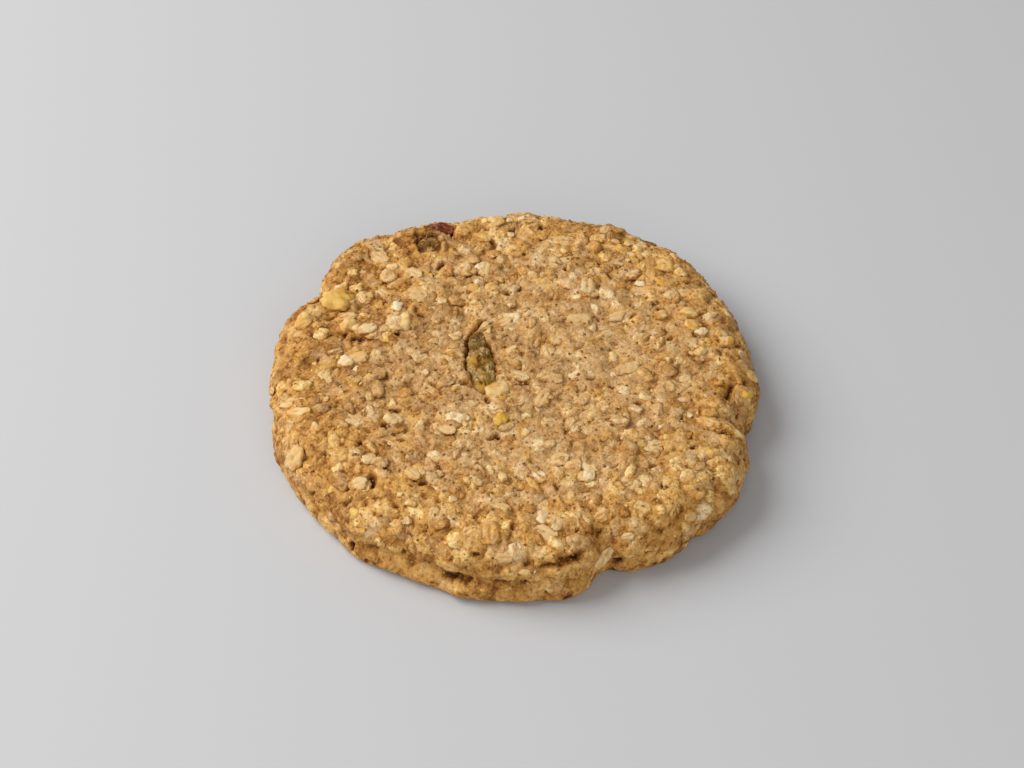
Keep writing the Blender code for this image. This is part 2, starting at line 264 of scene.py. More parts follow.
# Short cracks: where each starts and ends, across and along, and its height, in tenths of a
# millimetre, and half its width in hundredths
CRACKS = (
    (-56, 115, -82, 80, 119, 42), (-82, 80, -88, 50, 119, 38), (-88, -46, -74, -52, 120, 42),
    (-50, -76, -44, -87, 120, 35), (-339, 123, -306, 147, 116, 34), (-363, 75, -352, 71, 118, 45),
    (-227, 89, -211, 77, 122, 34), (-293, 78, -283, 78, 118, 36), (-279, 78, -270, 78, 118, 36),
    (-142, 255, -133, 258, 120, 36), (-122, 236, -109, 232, 118, 36), (-19, 183, -10, 186, 121, 36),
    (-258, 192, -249, 198, 117, 30), (-86, 233, -61, 230, 121, 28), (-181, 158, -160, 151, 122, 28),
    (-45, 332, -35, 321, 114, 30), (-274, 309, -268, 293, 112, 28), (-141, -50, -128, -69, 121, 28),
    (-179, 142, -168, 117, 122, 32), (7, -36, 28, -43, 122, 28), (12, -47, 24, -30, 122, 26),
    (213, 127, 221, 129, 120, 30), (265, 146, 270, 142, 118, 42), (327, 16, 345, 15, 117, 28),
    (377, 52, 411, 69, 105, 34), (372, 155, 381, 153, 105, 48), (330, 130, 343, 136, 116, 28),
    (48, 383, 51, 358, 115, 30), (399, -31, 416, -23, 101, 40), (379, -66, 390, -42, 107, 46),
    (116, -59, 128, -57, 119, 28), (130, -35, 138, -31, 121, 32), (-33, -174, -29, -166, 118, 36),
    (-244, -259, -241, -273, 120, 58), (-356, -205, -387, -205, 80, 32),
    (-289, -279, -283, -270, 106, 34), (-291, -308, -277, -299, 98, 38),
    (-227, -142, -222, -144, 118, 36), (-216, -111, -200, -109, 121, 32),
    (-160, -273, -151, -271, 118, 34), (-204, -323, -200, -326, 118, 36), (-120, -408, -77, -424, 41, 45),
    (-32, -431, -14, -432, 47, 38), (-72, -414, -60, -414, 98, 30), (80, -422, 114, -416, 93, 75),
    (51, -426, 74, -424, 85, 48), (107, -413, 116, -414, 87, 34), (89, -387, 93, -401, 108, 30),
    (54, -429, 62, -435, 58, 36), (173, -382, 179, -382, 40, 55), (87, -138, 88, -160, 121, 28),
    (364, -153, 379, -156, 113, 45), (385, -121, 395, -92, 90, 32), (308, -197, 312, -195, 122, 42),
    (170, -241, 176, -235, 123, 28), (250, -280, 255, -284, 119, 32), (66, -278, 72, -283, 117, 34),
    (94, -322, 114, -324, 117, 26), (-183, 347, -168, 351, 113, 65), (-172, 375, -158, 380, 109, 45),
    (-123, 359, -106, 340, 113, 56),
)
CRACK_UNITS = (1e4, 1e4, 1e4, 1e4, 1e4, 1e5)
CRACK_SLOPE = 3.2
# Dough smeared over the edges of the fruit
SMEARS = (
    (-163, 348, 6), (-136, 334, 8), (-188, 310, 7), (-157, 287, 10), (-132, 309, 7), (-88, -30, 9),
    (-42, 66, 10), (-36, 46, 6),
)
SMEAR_HEIGHT = 0.0009

SEED = 7
chance = np.random.default_rng(SEED)
noise.seed_set(SEED)
skin, upper_count = bare_skin()
bare = corner_array(skin.verts)
bare_x, bare_y, bare_z = bare.T
upright = np.array([corner.normal[:] for corner in skin.verts])
is_upper = np.arange(len(bare)) < upper_count
height_left = fade(0.0, FOOT_FADE, bare_z)

# Where the skin was pressed smoother: across, along, reach and how much
SMOOTH_PATCHES = (
    (0.014, 0.006, 0.017, 0.75),
    (-0.012, -0.004, 0.012, 0.45),
    (0.004, -0.016, 0.012, 0.35),
)
LEAST_ROUGH = 0.22
rough = np.ones(len(bare))
for x, y, reach, share in SMOOTH_PATCHES:
    rough -= share * hump(np.hypot(bare_x - x, bare_y - y), reach) * (bare_z > PRESSED_ABOVE)
rough = np.clip(rough, LEAST_ROUGH, 1.0)

lumps = LUMP_HEIGHT * (LUMP_LEVEL - round_lumps(bare, LUMP_LENGTH))
lumps += SMALL_LUMP_HEIGHT * (LUMP_LEVEL - round_lumps(bare, SMALL_LUMP_LENGTH, (7.0, 3.0, 5.0)))

corner_tree = KDTree(len(bare))
for index, point in enumerate(bare):
    corner_tree.insert(point, index)
corner_tree.balance()
WARP_LENGTH, WARP_REACH = 0.0014, 0.00055
warped = pushed_about(bare, WARP_LENGTH, WARP_REACH)
CHIP_SIDES, BEVEL = 6, 2.4


def press_chips(centres, lengths, widths, heights, tilts, steeps):
    """Raises a many-sided chip with bevelled sides at each centre, tilted so that one edge stands up,
    the highest winning. Says which covers each point, and how near its middle that lies, from 0 to 1."""
    raised = np.zeros(len(bare))
    owner = np.full(len(bare), -1)
    middle = np.zeros(len(bare))
    for number, centre in enumerate(centres):
        length = lengths[number]
        near = corner_tree.find_range(bare[centre], length + 2.0 * WARP_REACH)
        found = np.array([item[1] for item in near])
        side = np.cross(upright[centre], chance.normal(size=3))
        side /= np.linalg.norm(side)
        offset = warped[found] - warped[centre]
        x, y = offset @ side / length, offset @ np.cross(upright[centre], side) / widths[number]
        facing = np.arange(CHIP_SIDES) + chance.uniform(-0.4, 0.4, CHIP_SIDES)
        facing = facing * 2.0 * math.pi / CHIP_SIDES
        way_out = np.outer(x, np.cos(facing)) + np.outer(y, np.sin(facing))
        way_out = (way_out / chance.uniform(0.7, 1.0, CHIP_SIDES)).max(axis=1)
        inside = np.clip(1.0 - way_out, 0.0, 1.0)
        chip = np.minimum(BEVEL * inside, 1.0) ** steeps[number]
        chip *= heights[number] * (1.0 + tilts[number] * x)
        wins = chip > raised[found]
        raised[found[wins]] = chip[wins]
        owner[found[wins]] = number
        middle[found[wins]] = inside[wins]
    return raised, owner, middle


def owned(values, owner):
    """Each point's value from the chip that covers it, and 0 where there is none."""
    return np.where(owner < 0, 0.0, values[owner])


FLAKES_APART, GRIT_APART, PITS_APART = 0.0021, 0.0011, 0.0037
FLAKE_LENGTHS, FLAKE_HEIGHTS = (0.0010, 0.0024), (0.00006, 0.00047)
GRIT_LENGTHS, GRIT_HEIGHTS = (0.0005, 0.0012), (0.00004, 0.00024)
PIT_LENGTHS, PIT_LEAST, PIT_DEPTH, PIT_WIDTH = (0.00035, 0.0011), 0.0001, 0.0008, 0.00055
CRUMBLE_LENGTH, FINE_CRUMBLE_LENGTH, CRUMBLE_HEIGHT = 0.0021, 0.0011, 0.00013
RAGGED_LENGTH, FINE_RAGGED_LENGTH = 0.0019, 0.0008
RIM_FROM, RIM_TO = 0.030, 0.040

rho = np.hypot(bare_x, bare_y)
rim_share = fade(RIM_FROM, RIM_TO, rho)
flake_centres = spread_out(is_upper & (bare_z > FOOT), FLAKES_APART)
count = len(flake_centres)
flake_length = chance.uniform(*FLAKE_LENGTHS, count) * (1.0 + 0.3 * rim_share[flake_centres])
flakes, flake_owner, flake_middle = press_chips(
    flake_centres,
    flake_length,
    flake_length * chance.uniform(0.55, 0.95, count),
    chance.uniform(*FLAKE_HEIGHTS, count) * rough[flake_centres],
    chance.uniform(0.0, 0.9, count),
    chance.uniform(1.0, 1.5, count) - 0.5 * rough[flake_centres],
)
flake_light = chance.normal(0.0, 0.45, count) * (0.7 + 0.6 * rim_share[flake_centres])
flake_light += 0.8 * (chance.uniform(0.0, 1.0, count) > 0.90)
flake_light = np.clip(flake_light, -0.7, 1.3)
flake_toast = chance.normal(0.0, 0.34, count) * (1.0 + 0.6 * rim_share[flake_centres])

grit_centres = spread_out(is_upper, GRIT_APART)
count = len(grit_centres)
grit_length = chance.uniform(*GRIT_LENGTHS, count)
grit, grit_owner, grit_middle = press_chips(
    grit_centres,
    grit_length,
    grit_length * chance.uniform(0.5, 1.0, count),
    chance.uniform(*GRIT_HEIGHTS, count) * (0.5 + 0.5 * rough[grit_centres]),
    chance.uniform(0.0, 0.9, count),
    np.full(count, 0.8),
)
grit_light = chance.normal(0.0, 0.45, count)
grit_light += 0.8 * (chance.uniform(0.0, 1.0, count) > 0.93)

crumble = soft_noise(bare, CRUMBLE_LENGTH, (3.0, 0.0, 0.0))
crumble = crumble + 0.6 * soft_noise(bare, FINE_CRUMBLE_LENGTH, (0.0, 5.0, 0.0))
relief = flakes + grit + CRUMBLE_HEIGHT * (0.4 + 0.6 * rough) * crumble
relief -= relief[is_upper].mean()

low_spots = flakes < np.quantile(flakes[is_upper], 0.45)
pit_centres = spread_out(is_upper & low_spots & (bare_z > FOOT), PITS_APART)
count = len(pit_centres)
pit_length = chance.uniform(*PIT_LENGTHS, count)
pits, _, _ = press_chips(
    pit_centres,
    pit_length,
    np.minimum(pit_length * chance.uniform(0.4, 1.0, count), PIT_WIDTH),
    chance.uniform(PIT_LEAST, PIT_DEPTH, count) * (0.35 + 0.65 * rough[pit_centres]),
    np.zeros(count),
    np.full(count, 1.2),
)
relief -= pits
relief += lumps
split = np.zeros(len(bare))
to_crack = np.full(len(bare), RADIUS)
for crack in np.array(CRACKS) / CRACK_UNITS:
    way = way_to_crack(warped, crack)
    relief -= CRACK_SLOPE * crack[-1] * hump(way, 1.0)
    split = np.maximum(split, hump(way, 1.0))
    to_crack = np.minimum(to_crack, way * crack[-1])

shaped = bare + upright * (relief * height_left)[:, None]
hollow = np.zeros(len(bare))
ragged = 0.30 * soft_noise(bare, RAGGED_LENGTH, (9.0, 2.0, 0.0))
ragged = ragged + 0.26 * soft_noise(bare, FINE_RAGGED_LENGTH, (2.0, 0.0, 4.0))
on_top = bare_z > HOLLOWS_ABOVE
smear = patches_on(warped, SMEARS) * on_top
shaped[:, 2] += SMEAR_HEIGHT * smear
for fruit in FRUIT.values():
    front_end = fade(0.35, 0.80, (fruit["at"][1] - bare_y) / fruit["half"][1])
    out = in_hollow(bare, fruit) + 0.10 - ragged * (1.0 - 0.75 * front_end) + 1.3 * smear
    half_height = fruit["half"][2] + HOLLOW_GAP
    bottom = fruit["at"][2] - half_height * np.sqrt(np.clip(1.0 - out, 0.0, 1.0))
    covered = (out < 1.0) & on_top
    shaped[covered, 2] = np.minimum(shaped[covered, 2], bottom[covered])
    hollow = np.maximum(hollow, (1.0 - fade(0.9, 1.35, out)) * on_top)

UNDERSIDE_RISE, UNDERSIDE_SWELL = 0.00025, 0.006
underside = ~is_upper
rise = UNDERSIDE_RISE * (1.0 + soft_noise(bare[underside], UNDERSIDE_SWELL))
shaped[underside, 2] = rise * fade(0.0, 0.006, 0.9 * RADIUS - rho[underside])
shaped[:, 2] = np.maximum(shaped[:, 2], 0.0)


def sheet_blur(values, cells):
    """Averages over the sheet's own rows and columns, a few cells each way."""
    side = SKIN_CELLS + 1
    sheet = values[:upper_count].reshape(side, side)
    window = np.ones(2 * cells + 1) / (2 * cells + 1)
    padded = np.pad(sheet, cells, mode="edge")
    rows = np.apply_along_axis(lambda row: np.convolve(row, window, "valid"), 1, padded)
    both = np.apply_along_axis(lambda row: np.convolve(row, window, "valid"), 0, rows)
    blurred = values.copy()
    blurred[:upper_count] = both.ravel()
    return blurred


PALE_MIDDLE = (0.003, -0.001)
SIDE_FROM, SIDE_TO = 0.0085, 0.0035
BURNT_AT, BURNT_HALF_WIDTH = 325, 34
TOAST_LENGTH, UNDERSIDE_TOAST = 0.007, 0.9
near_dip = sheet_blur(relief, 1) - relief
wide_dip = sheet_blur(relief, 5) - relief
# Painted shade: the crevice shade is high in dips of the relief, in the fruit's hollows, the pits and the
# cracks, and darkens the dough there.
crevice = 0.55 * fade(0.00003, 0.00025, near_dip) + 0.7 * fade(0.0001, 0.0007, wide_dip)
crevice = np.clip(np.maximum(crevice, np.maximum(hollow, 1.6 * pits / PIT_DEPTH)), 0.0, 1.1)
crevice = np.maximum(crevice, 1.5 * split)
# Painted light: crests that stand above their surroundings are lightened.
crest = fade(0.0, 0.0005, -wide_dip)

light = owned(flake_light, flake_owner) * fade(0.0, 0.35, flake_middle)
light = light + 0.7 * owned(grit_light, grit_owner) * fade(0.0, 0.4, grit_middle) + 0.25 * crest
light -= 0.5 * (1.0 - fade(0.0, 0.3, np.maximum(flake_middle, grit_middle)))
around = np.degrees(np.arctan2(bare_y, bare_x))
from_middle = np.hypot(bare_x - PALE_MIDDLE[0], bare_y - PALE_MIDDLE[1])
# Paler in the middle; the front is painted lighter, as painted light.
light += 0.12 * fade(0.030, 0.016, from_middle) + 0.14 * fade(-0.012, -0.030, bare_y)
toast = 0.15 * rim_share + 0.85 * fade(0.019, 0.042, from_middle)
toast += owned(flake_toast, flake_owner) * fade(0.0, 0.35, flake_middle)
side = fade(SIDE_FROM, SIDE_TO, bare_z)
# Browner down the side; browner on the right edge, partly toasting and partly painted shade on the side
# away from the window.
toast += 0.35 * side + 0.3 * fade(0.033, 0.043, bare_x)
toast = np.clip(toast + 0.30 * soft_noise(bare, TOAST_LENGTH), 0.0, 1.0)
# Darker low on the side at the undercut: partly toasted, partly painted shade under the overhang.
burnt = hump(degrees_apart(around, BURNT_AT), BURNT_HALF_WIDTH) * fade(0.006, 0.001, bare_z)
# Painted shade: darker down the side, towards the left and at the back left.
light -= 0.6 * burnt + 0.35 * side + 0.25 * fade(-0.006, -0.026, bare_x)
light -= 0.2 * fade(0.000, 0.014, bare_y) * fade(-0.012, -0.026, bare_x)
toast[underside] = UNDERSIDE_TOAST


def set_attributes(mesh, **values):
    """Gives each corner of the mesh a number under each name, for the material to read."""
    for name, array in values.items():
        attribute = mesh.attributes.new(name, "FLOAT", "POINT")
        attribute.data.foreach_set("value", np.asarray(array, np.float32))


def add_object(name, data):
    made = bpy.data.objects.new(name, data)
    bpy.context.scene.collection.objects.link(made)
    return made


def form_to_mesh(form, name):
    mesh = bpy.data.meshes.new(name)
    form.to_mesh(mesh)
    form.free()
    return mesh


def new_piece(name, mesh, slot, *nodes):
    piece = add_object(name, mesh)
    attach(piece, "root")
    if nodes:
        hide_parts(*nodes)


def feed(tree, node, values):
    """Sets the node's inputs by name or number, linked where the value is another node's output."""
    for key, value in values.items():
        if isinstance(value, bpy.types.NodeSocket):
            tree.links.new(value, node.inputs[key])
        else:
            node.inputs[key].default_value = value


def add_node(tree, kind, values=None, **settings):
    made = tree.nodes.new(kind)
    for key, value in settings.items():
        setattr(made, key, value)
    feed(tree, made, values or {})
    return made


def mix_colour(tree, amount, first, second):
    values = {0: amount, 6: first, 7: second}
    return add_node(tree, "ShaderNodeMix", values, data_type="RGBA").outputs[2]


def stretch(tree, value, low, high, to_low=0.0, to_high=1.0):
    """The value eased from one range to another."""
    values = {0: value, 1: low, 2: high, 3: to_low, 4: to_high}
    return add_node(tree, "ShaderNodeMapRange", values, interpolation_type="SMOOTHSTEP").outputs[0]


def calculate(tree, operation, first, second, clamp=False):
    values = {0: first, 1: second}
    return add_node(tree, "ShaderNodeMath", values, operation=operation, use_clamp=clamp).outputs[0]


def read_attribute(tree, name):
    return add_node(tree, "ShaderNodeAttribute", attribute_name=name).outputs["Fac"]


def object_place(tree):
    return add_node(tree, "ShaderNodeTexCoord").outputs["Object"]


def noise_texture(tree, place, scale, detail, roughness=0.5, output="Fac"):
    values = {"Vector": place, "Scale": scale, "Detail": detail, "Roughness": roughness}
    return add_node(tree, "ShaderNodeTexNoise", values).outputs[output]


def new_material(name):
    material = bpy.data.materials.new(name)
    material.use_nodes = True
    return material, material.node_tree, material.node_tree.nodes["Principled BSDF"]


def finish_skin(tree, shader, height, strength, depth, gloss, soft, radius):
    """Gives the shader its fine relief and gloss, and lets light a little way in."""
    relief = {"Height": height, "Strength": strength, "Distance": depth}
    values = {
        "Normal": add_node(tree, "ShaderNodeBump", relief).outputs["Normal"],
        "Specular IOR Level": gloss,
        "Subsurface Weight": soft,
        "Subsurface Radius": radius,
        "Subsurface Scale": 1.0,
    }
    feed(tree, shader, values)


BASE_SHADE = 0.54
LIGHT_SHARE, GRAIN_SHARE, PATCH_SHARE, CRUMB_SHARE, FINE_SHARE = 0.24, 0.15, 0.17, 0.18, 0.56
CREVICE_SHARE, PORE_SHARE = 0.38, 0.12
WARP_SCALE, WARP_SHARE = 900.0, 0.0006
GRAIN_SCALE, PATCH_SCALE, CRUMB_SCALE, FINE_SCALE = 900.0, 380.0, 2100.0, 3000.0
BROKEN_SCALE, TOAST_SCALE, PORE_SCALE, PORE_SIZE = 750.0, 360.0, 480.0, 0.24
# From the darkest shade to the lightest
DOUGH_COLOURS = (
    (0.070, 0.018, 0.001), (0.295, 0.122, 0.018), (0.525, 0.290, 0.102),
    (0.700, 0.448, 0.208), (0.850, 0.645, 0.365),
)
TOASTED_COLOURS = (
    (0.070, 0.015, 0.001), (0.300, 0.106, 0.006), (0.560, 0.268, 0.052),
    (0.760, 0.443, 0.125), (0.880, 0.645, 0.285),
)


def baked_grain_group():
    """Baked oat dough: mottled light and dark, browner where toasted, painted shade in creases and pores.
    """
    group = bpy.data.node_groups.new("baked_grain", "ShaderNodeTree")
    for name, way, kind in (
        ("Light", "INPUT", "Float"), ("Toast", "INPUT", "Float"), ("Crevice", "INPUT", "Float"),
        ("Colour", "OUTPUT", "Color"), ("Roughness", "OUTPUT", "Float"), ("Height", "OUTPUT", "Float"),
    ):
        group.interface.new_socket(name, in_out=way, socket_type="NodeSocket" + kind)
    given = add_node(group, "NodeGroupInput")
    result = add_node(group, "NodeGroupOutput")
    place = object_place(group)
    push = noise_texture(group, place, WARP_SCALE, 2.0, 0.5, "Color")
    push = {0: push, 1: (WARP_SHARE, WARP_SHARE, WARP_SHARE), 2: place}
    warped_place = add_node(group, "ShaderNodeVectorMath", push, operation="MULTIPLY_ADD").outputs[0]

    def combine(operation, first, second, clamp=False):
        return calculate(group, operation, first, second, clamp)

    def cells(scale, channel=0, **smooth):
        """A chance value for each cell of a broken pattern, and how far its middle is."""
        values = {"Vector": warped_place, "Scale": scale, **smooth}
        feature = "SMOOTH_F1" if smooth else "F1"
        made = add_node(group, "ShaderNodeTexVoronoi", values, feature=feature)
        parts = add_node(group, "ShaderNodeSeparateColor", {0: made.outputs["Color"]})
        return parts.outputs[channel], made.outputs["Distance"]

    def ramp(value, colours):
        """The colours evenly spaced along the value from 0 to 1."""
        made = add_node(group, "ShaderNodeValToRGB", {"Fac": value})
        line = made.color_ramp.elements
        while len(line) < len(colours):
            line.new(0.5)
        for number, colour in enumerate(colours):
            line[number].position = number / (len(colours) - 1)
            line[number].color = (*colour, 1.0)
        return made.outputs["Color"]

    grain_light, grain_round = cells(GRAIN_SCALE, Smoothness=0.35)
    patch_light, _ = cells(PATCH_SCALE, Smoothness=0.5)
    crumb_light, crumb_round = cells(CRUMB_SCALE, Smoothness=0.2)
    fine = noise_texture(group, place, FINE_SCALE, 4.0, 0.75)
    some, pore_way = cells(PORE_SCALE, 1)
    pore = stretch(group, pore_way, PORE_SIZE, PORE_SIZE * 0.3)
    pore = combine("MULTIPLY", stretch(group, some, 0.55, 0.95), pore)
    broken = noise_texture(group, place, BROKEN_SCALE, 3.0, 0.6)
    broken = stretch(group, broken, 0.38, 0.60, 0.3, 1.3)
    shade = combine("MULTIPLY", combine("MULTIPLY", given.outputs["Light"], broken), LIGHT_SHARE)
    shade = combine("ADD", shade, BASE_SHADE)
    for value, share in (
        (grain_light, GRAIN_SHARE),
        (patch_light, PATCH_SHARE),
        (crumb_light, CRUMB_SHARE),
        (fine, FINE_SHARE),
    ):
        shade = combine("ADD", shade, combine("MULTIPLY", combine("SUBTRACT", value, 0.5), share))
    # Painted shade: darker in the crevices and in the pores.
    shade = combine("SUBTRACT", shade, combine("MULTIPLY", given.outputs["Crevice"], CREVICE_SHARE))
    shade = combine("SUBTRACT", shade, combine("MULTIPLY", pore, PORE_SHARE), True)
    uneven = noise_texture(group, place, TOAST_SCALE, 3.0, 0.6)
    toasted = combine("ADD", given.outputs["Toast"], stretch(group, uneven, 0.3, 0.7, -0.55, 0.55))
    # The painted crevice shade also turns toward the deeper orange-brown of the toasted colours.
    toasted = combine("ADD", toasted, combine("MULTIPLY", given.outputs["Crevice"], 0.5))
    toasted = stretch(group, toasted, -0.2, 1.1, 0.0, 0.95)
    colour = mix_colour(group, toasted, ramp(shade, DOUGH_COLOURS), ramp(shade, TOASTED_COLOURS))
    dull = stretch(group, fine, 0.3, 0.7, 0.85, 0.45)
    height = combine("SUBTRACT", combine("MULTIPLY", fine, 0.9), combine("MULTIPLY", grain_round, 0.8))
    height = combine("SUBTRACT", height, combine("MULTIPLY", crumb_round, 0.5))
    height = combine("SUBTRACT", height, pore)
    feed(group, result, {"Colour": colour, "Roughness": dull, "Height": height})
    return group


baked_grain = baked_grain_group()


def grain_node(tree, *names):
    """The baked grain, with the named sockets fed by the mesh's own attributes."""
    values = {name: read_attribute(tree, name.lower()) for name in names}
    return add_node(tree, "ShaderNodeGroup", values, node_tree=baked_grain)


def dough_material():
    material, tree, shader = new_material("baked_dough")
    colour, dull, relief = grain_node(tree, "Light", "Toast", "Crevice").outputs
    feed(tree, shader, {"Base Color": colour, "Roughness": dull})
    finish_skin(tree, shader, relief, 0.9, 0.00024, 0.35, 0.12, (0.0009, 0.0004, 0.0002))
    return material


move_corners(skin.verts, shaped - BOX_MIDDLE)
skin.normal_update()
dough_mesh = form_to_mesh(skin, "dough")
dough_mesh.shade_smooth()
set_attributes(dough_mesh, light=light, toast=toast, crevice=crevice)
baked_dough = dough_material()
dough_mesh.materials.append(baked_dough)
new_piece("dough", dough_mesh, "baked_dough", "cookie")

# The dried fruit: a golden raisin, a dark raisin and a cranberry, each a wrinkled, sticky skin
# round a soft inside, pressed into the dough before baking, so that each lies in its own hollow.

FRUIT_DETAIL = 5
WAIST_WIDTH = 0.0016
BEND_LENGTH, BEND_REACH = 0.0018, 0.0007
FOLD_LENGTH, FINE_FOLD_LENGTH = 0.0019, 0.0006
# The dusty and the clear patches are given across and along the fruit with their reach, in tenths
# of a millimetre. The light colour is both sugar dust and painted glints.
FRUIT_LOOKS = {
    "golden_raisin": {
        "slot": "golden_raisin_skin",
        "full": 2.7, "waist": (0.0037, 0.26), "rise": 0.0002, "folds": 0.0012,
        "dark": (0.085, 0.032, 0.001), "middle": (0.250, 0.145, 0.022),
        "light": (0.560, 0.420, 0.260), "glow": (0.510, 0.240, 0.014),
        "rough": 0.42, "bloom": 2100.0,
        "dusty": ((-22, -32, 15), (16, -21, 10), (4, 26, 9), (15, 56, 12), (-8, 50, 5), (-18, 22, 7)),
        "clear": ((-9, 4, 16), (-2, -56, 13)),
    },
    "dark_raisin": {
        "slot": "dark_raisin_skin",
        "full": 2.1, "waist": (0.0, 0.0), "rise": -0.0004, "folds": 0.0009,
        "dark": (0.080, 0.025, 0.001), "middle": (0.170, 0.072, 0.008),
        "light": (0.500, 0.300, 0.140), "glow": (0.220, 0.100, 0.006),
        "rough": 0.42, "bloom": 1000.0,
        "dusty": ((-22, -10, 13), (2, -20, 6)),
        "clear": ((4, 10, 10),),
    },
    "dried_cranberry": {
        "slot": "cranberry_skin",
        "full": 2.0, "waist": (0.0, 0.0), "rise": -0.0004, "folds": 0.0006,
        "dark": (0.045, 0.006, 0.001), "middle": (0.120, 0.020, 0.002),
        "light": (0.400, 0.170, 0.090), "glow": (0.260, 0.052, 0.006),
        "rough": 0.30, "bloom": 1000.0,
        "dusty": ((-15, -8, 9),),
        "clear": ((6, -2, 8),),
    },
}


def fruit_mesh(name, fruit, look):
    """A ball drawn out and pinched at its waist, its skin shrunk into rounded folds."""
    form = bmesh.new()
    bmesh.ops.create_icosphere(form, subdivisions=FRUIT_DETAIL, radius=1.0)
    ball = corner_array(form.verts)
    ball = ball / (np.abs(ball) ** look["full"]).sum(axis=1, keepdims=True) ** (1.0 / look["full"])
    half = np.array(fruit["half"])
    waist_at, waist_depth = look["waist"]
    along = ball[:, 1] * half[1]
    pinch = 1.0 - waist_depth * hump(along - waist_at, WAIST_WIDTH)
    body = ball * half * np.stack((pinch, np.ones_like(pinch), pinch), axis=1)
    bent = pushed_about(body, BEND_LENGTH, BEND_REACH)
    folds = np.clip(0.55 - round_lumps(bent, FOLD_LENGTH, (fruit["turn"], 0.0, 0.0)), 0.0, 0.5)
    fine = np.abs(soft_noise(bent, FINE_FOLD_LENGTH, (0.0, fruit["turn"], 0.0)))
    wrinkle = look["folds"] * (folds - 0.38) + 0.35 * look["folds"] * (fine - 0.2)
    body = body + ball * wrinkle[:, None]
    body[:, 2] += look["rise"] * (1.0 + 3.0 * fade(0.0020, 0.0060, along))
    dusty, clear = patches_on(body, look["dusty"]), patches_on(body, look["clear"])
    move_corners(form.verts, body)
    turn = Matrix.Rotation(math.radians(fruit["turn"]), 4, "Z")
    middle = Matrix.Translation(Vector(fruit["at"]) - Vector(BOX_MIDDLE))
    bmesh.ops.transform(form, matrix=middle @ turn, verts=form.verts)
    mesh = form_to_mesh(form, name)
    mesh.shade_smooth()
    fold = 0.6 * fade(0.0, 0.42, folds) + 0.4 * fade(0.0, 0.30, fine)
    past_waist = 0.95 * fade(waist_at, 0.005, along)
    shade = (waist_depth > 0.0) * np.maximum(hump(along - waist_at, WAIST_WIDTH / 2), past_waist)
    shade = np.maximum(shade, 1.0 - fade(-0.1, 0.5, ball[:, 2]))
    set_attributes(mesh, fold=fold * (1.0 - 0.7 * shade), dusty=dusty, clear=clear)
    return mesh


def fruit_material(name, look):
    """Fruit skin: painted shade in the folds, glowing where thin, dusted with sugar, with painted glints.
    """
    material, tree, shader = new_material(name)
    place = object_place(tree)

    def blotches(scale, detail, low, high, most=1.0):
        return stretch(tree, noise_texture(tree, place, scale, detail, 0.65), low, high, 0.0, most)

    fold = read_attribute(tree, "fold")
    thin = blotches(500.0, 3.0, 0.45, 0.70, 0.6)
    thin = calculate(tree, "ADD", thin, read_attribute(tree, "clear"), True)
    colour = mix_colour(tree, thin, (*look["middle"], 1.0), (*look["glow"], 1.0))
    # Painted shade in the valleys of the folds.
    colour = mix_colour(tree, stretch(tree, fold, 0.0, 0.60), (*look["dark"], 1.0), colour)
    # The light colour: sugar dust on the dusty patches, and dust with painted glints on the ridges.
    powder = stretch(tree, fold, 0.35, 1.0, 0.0, 0.7)
    powder = calculate(tree, "ADD", powder, read_attribute(tree, "dusty"), True)
    powder = calculate(tree, "MULTIPLY", powder, blotches(look["bloom"], 4.0, 0.47, 0.60, 0.95))
    colour = mix_colour(tree, powder, colour, (*look["light"], 1.0))
    dull = blotches(900.0, 3.0, 0.35, 0.65)
    dull = stretch(tree, dull, 0.0, 1.0, look["rough"] - 0.12, look["rough"] + 0.25)
    feed(tree, shader, {"Base Color": colour, "Roughness": dull})
    relief = blotches(1500.0, 4.0, 0.32, 0.68)
    finish_skin(tree, shader, relief, 0.7, 0.00020, 0.14, 0.15, (0.002, 0.001, 0.0004))
    return material


for name, fruit in FRUIT.items():
    look = FRUIT_LOOKS[name]
    mesh = fruit_mesh(name + "_flesh", fruit, look)
    mesh.materials.append(fruit_material(name + "_skin", look))
    new_piece(name + "_flesh", mesh, look["slot"], name)

# Oat flakes under a coat of dough: steamed and rolled grains that the wet dough has covered, so that
# they show as rough lumps with a shadow under their edges, most of them round the rim.

TEMPLATES = 8


def template_arrays(form):
    """The corners and the triangles of a form, as arrays to lay copies from."""
    bmesh.ops.triangulate(form, faces=form.faces)
    form.verts.index_update()
    corners = corner_array(form.verts)
    faces = np.array([[corner.index for corner in face.verts] for face in form.faces])
    form.free()
    return corners, faces


def chopped_lump(number, detail, faces, sharpness, dents):
    """A lump with a few flat faces, its edges and corners rubbed round, dented by noise."""
    form = bmesh.new()
    bmesh.ops.create_icosphere(form, subdivisions=detail, radius=1.0)
    dice = np.random.default_rng(number)
    facing = dice.normal(size=(faces, 3))
    facing /= np.linalg.norm(facing, axis=1, keepdims=True)
    reach = np.clip(corner_array(form.verts) @ facing.T, 0.0, 1.0) / dice.uniform(0.65, 1.0, faces)
    out = 1.0 / ((reach**sharpness).sum(axis=1) + 0.3) ** (1.0 / sharpness)
    shift = Vector((0.0, 0.0, number * 6.0))
    for corner, way in zip(form.verts, out):
        dent = noise.noise(corner.co * 1.6 + shift) + 0.5 * noise.noise(corner.co * 4.0 + shift)
        corner.co *= way * (1.0 + dents * dent)
    return template_arrays(form)


FOOT_SINK, SLOPE_SINK, MOST_SINK = 0.3, 0.20, 0.95


